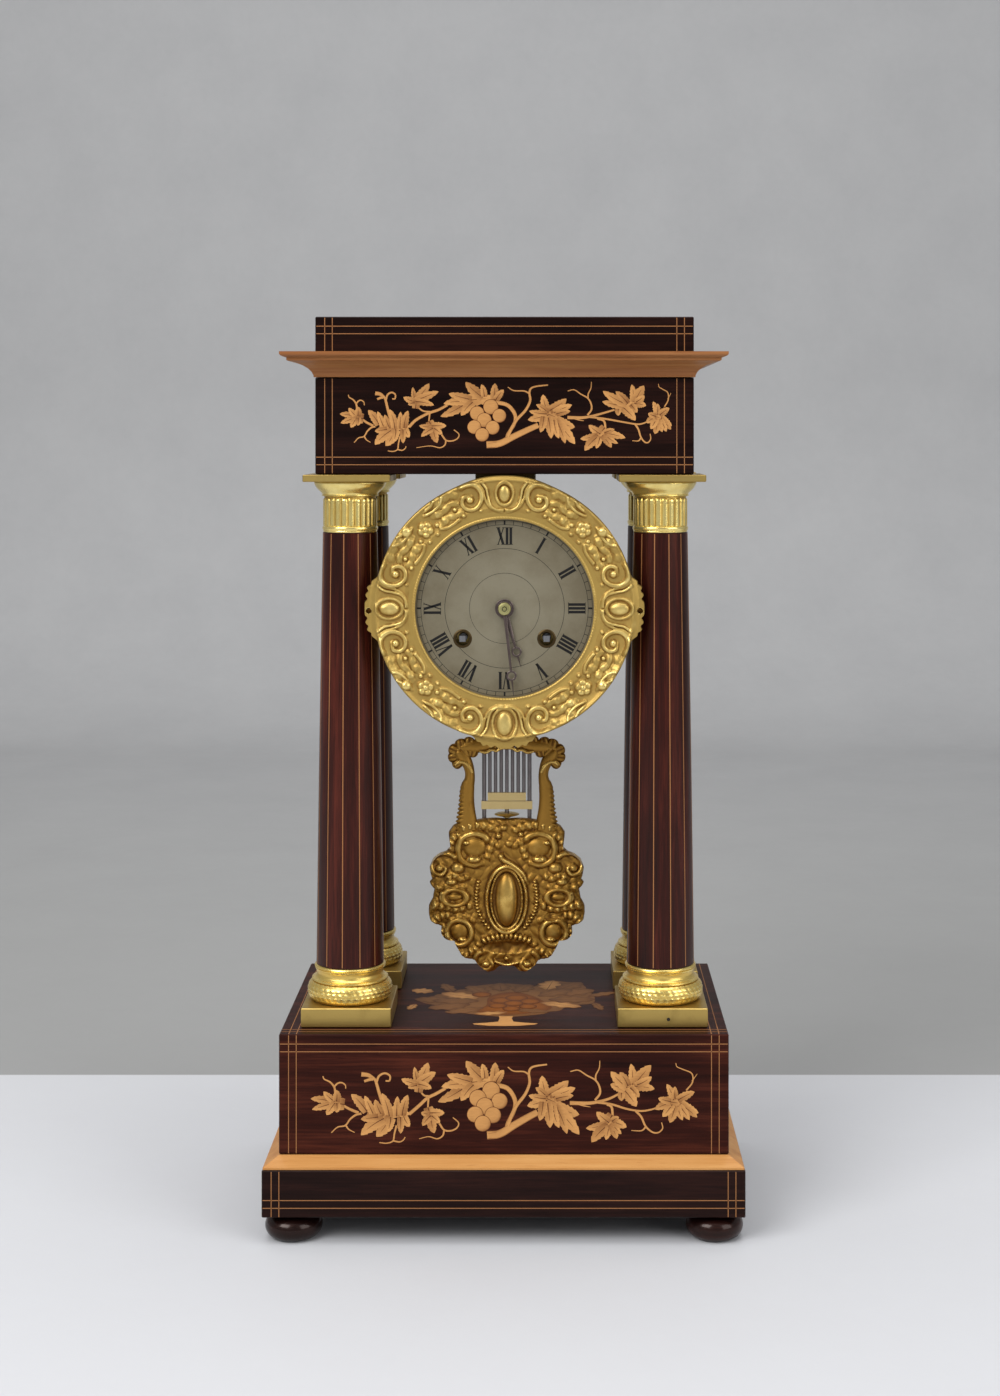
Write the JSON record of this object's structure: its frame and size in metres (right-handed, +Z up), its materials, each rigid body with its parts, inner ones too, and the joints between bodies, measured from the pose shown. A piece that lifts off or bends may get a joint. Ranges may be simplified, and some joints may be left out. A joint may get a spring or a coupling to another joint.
{
  "type": "portico mantel clock",
  "caption": "Portico mantel clock: marquetry plinth and entablature on four gilt-mounted columns, round gilt bezel, silvered dial and a gridiron pendulum that swings below.",
  "frame": {"origin": "middle of the footprint, on the surface that the four feet stand on", "axes": "+Z up; the dial faces -Y; +X is to the right of a person who looks at the dial"},
  "size_m": [0.25, 0.164, 0.4811],
  "materials": {
    "rosewood": "french polished veneer",
    "fruitwood": "satin polished",
    "gilt_brass": "matte and burnished gilding",
    "plain_brass": "lacquered, slightly dull",
    "silvered_brass": "matte silvered",
    "blued_steel": "polished and blued",
    "bell_metal": "turned bell bronze",
    "steel": "fine brushed"
  },
  "bodies": {
    "case": {"foot_front_left": "rosewood", "foot_front_right": "rosewood", "foot_rear_left": "rosewood", "foot_rear_right": "rosewood", "plinth": "rosewood", "plinth_moulding": "fruitwood", "base_box": "rosewood", "frieze_box": "rosewood", "cornice": "fruitwood", "attic_block": "rosewood", "column_block_front_left": "plain_brass", "column_block_front_right": "plain_brass", "column_block_rear_left": "plain_brass", "column_block_rear_right": "plain_brass", "column_base_front_left": "gilt_brass", "column_base_front_right": "gilt_brass", "column_base_rear_left": "gilt_brass", "column_base_rear_right": "gilt_brass", "column_shaft_front_left": "rosewood", "column_shaft_front_right": "rosewood", "column_shaft_rear_left": "rosewood", "column_shaft_rear_right": "rosewood", "capital_front_left": "gilt_brass", "capital_front_right": "gilt_brass", "capital_rear_left": "gilt_brass", "capital_rear_right": "gilt_brass", "capital_plate_front_left": "plain_brass", "capital_plate_front_right": "plain_brass", "capital_plate_rear_left": "plain_brass", "capital_plate_rear_right": "plain_brass", "drum_hanger": "plain_brass", "movement_drum": "plain_brass", "bezel": "gilt_brass", "dial": "silvered_brass", "front_plate": "plain_brass", "back_plate": "plain_brass", "strike_barrel": "plain_brass", "going_barrel": "plain_brass", "back_cock": "plain_brass", "bell": "bell_metal", "bell_stand": "steel"},
    "minute_work": {"centre_arbor": "steel", "cannon_pinion": "steel", "minute_hand": "blued_steel", "hand_collet": "plain_brass"},
    "hour_work": {"hour_wheel": "plain_brass", "hour_hand": "blued_steel"},
    "minute_wheel_body": {"minute_wheel": "plain_brass"},
    "escape": {"escape_wheel": "plain_brass"},
    "anchor": {"anchor_and_crutch": "steel"},
    "pendulum": {"suspension_spring": "steel", "pendulum_rod": "steel", "gridiron_frame": "steel", "gridiron_core": "plain_brass"},
    "bob": {"pendulum_bob": "gilt_brass"},
    "rating": {"rating_nut": "plain_brass"},
    "strike_winding": {"strike_winding_arbor": "steel"},
    "going_winding": {"going_winding_arbor": "steel"},
    "hammer": {"strike_hammer": "steel"},
    "door": {"back_door": "plain_brass"}
  },
  "joints": [
    {"name": "minute_turn", "type": "hinge", "parent": "case", "child": "minute_work", "pos_m": [0, 0, 0.327], "axis": [0, 1, 0], "continuous": true},
    {"name": "hour_turn", "type": "hinge", "parent": "case", "child": "hour_work", "pos_m": [0, 0, 0.327], "axis": [0, 1, 0], "continuous": true},
    {"name": "minute_wheel_turn", "type": "hinge", "parent": "case", "child": "minute_wheel_body", "pos_m": [0.01011, 0, 0.33548], "axis": [0, 1, 0], "continuous": true},
    {"name": "escape_turn", "type": "hinge", "parent": "case", "child": "escape", "pos_m": [0, 0, 0.349], "axis": [0, 1, 0], "continuous": true},
    {"name": "pendulum_swing", "type": "hinge", "parent": "case", "child": "pendulum", "pos_m": [0, 0.003, 0.365], "axis": [0, 1, 0], "range_deg": [-4, 4]},
    {"name": "anchor_rock", "type": "hinge", "parent": "case", "child": "anchor", "pos_m": [0, 0.003, 0.365], "axis": [0, 1, 0], "range_deg": [-4, 4]},
    {"name": "bob_raise", "type": "slide", "parent": "pendulum", "child": "bob", "axis": [0, 0, 1], "range_m": [-0.001, 0.001]},
    {"name": "rating_turn", "type": "hinge", "parent": "bob", "child": "rating", "pos_m": [0, 0.003, 0.2076], "axis": [0, 0, 1], "range_deg": [-720, 720]},
    {"name": "strike_winding_turn", "type": "hinge", "parent": "case", "child": "strike_winding", "pos_m": [-0.0222, 0, 0.311], "axis": [0, 1, 0], "continuous": true},
    {"name": "going_winding_turn", "type": "hinge", "parent": "case", "child": "going_winding", "pos_m": [0.0222, 0, 0.311], "axis": [0, 1, 0], "continuous": true},
    {"name": "hammer_strike", "type": "hinge", "parent": "case", "child": "hammer", "pos_m": [-0.033, 0.014, 0.313], "axis": [0, 1, 0], "range_deg": [-14, 6], "stiffness_Nm_per_rad": 0.02},
    {"name": "back_door_open", "type": "hinge", "parent": "case", "child": "door", "pos_m": [-0.0532, 0.0376, 0.327], "axis": [0, 0, 1], "range_deg": [0, 105]}
  ],
  "couplings": [
    {"joint": "hour_turn", "follows": "minute_turn", "ratio": 0.083333},
    {"joint": "minute_wheel_turn", "follows": "minute_turn", "ratio": -0.33333},
    {"joint": "anchor_rock", "follows": "pendulum_swing", "ratio": 1},
    {"joint": "rating_turn", "follows": "bob_raise", "rad_per_m": 12566}
  ]
}
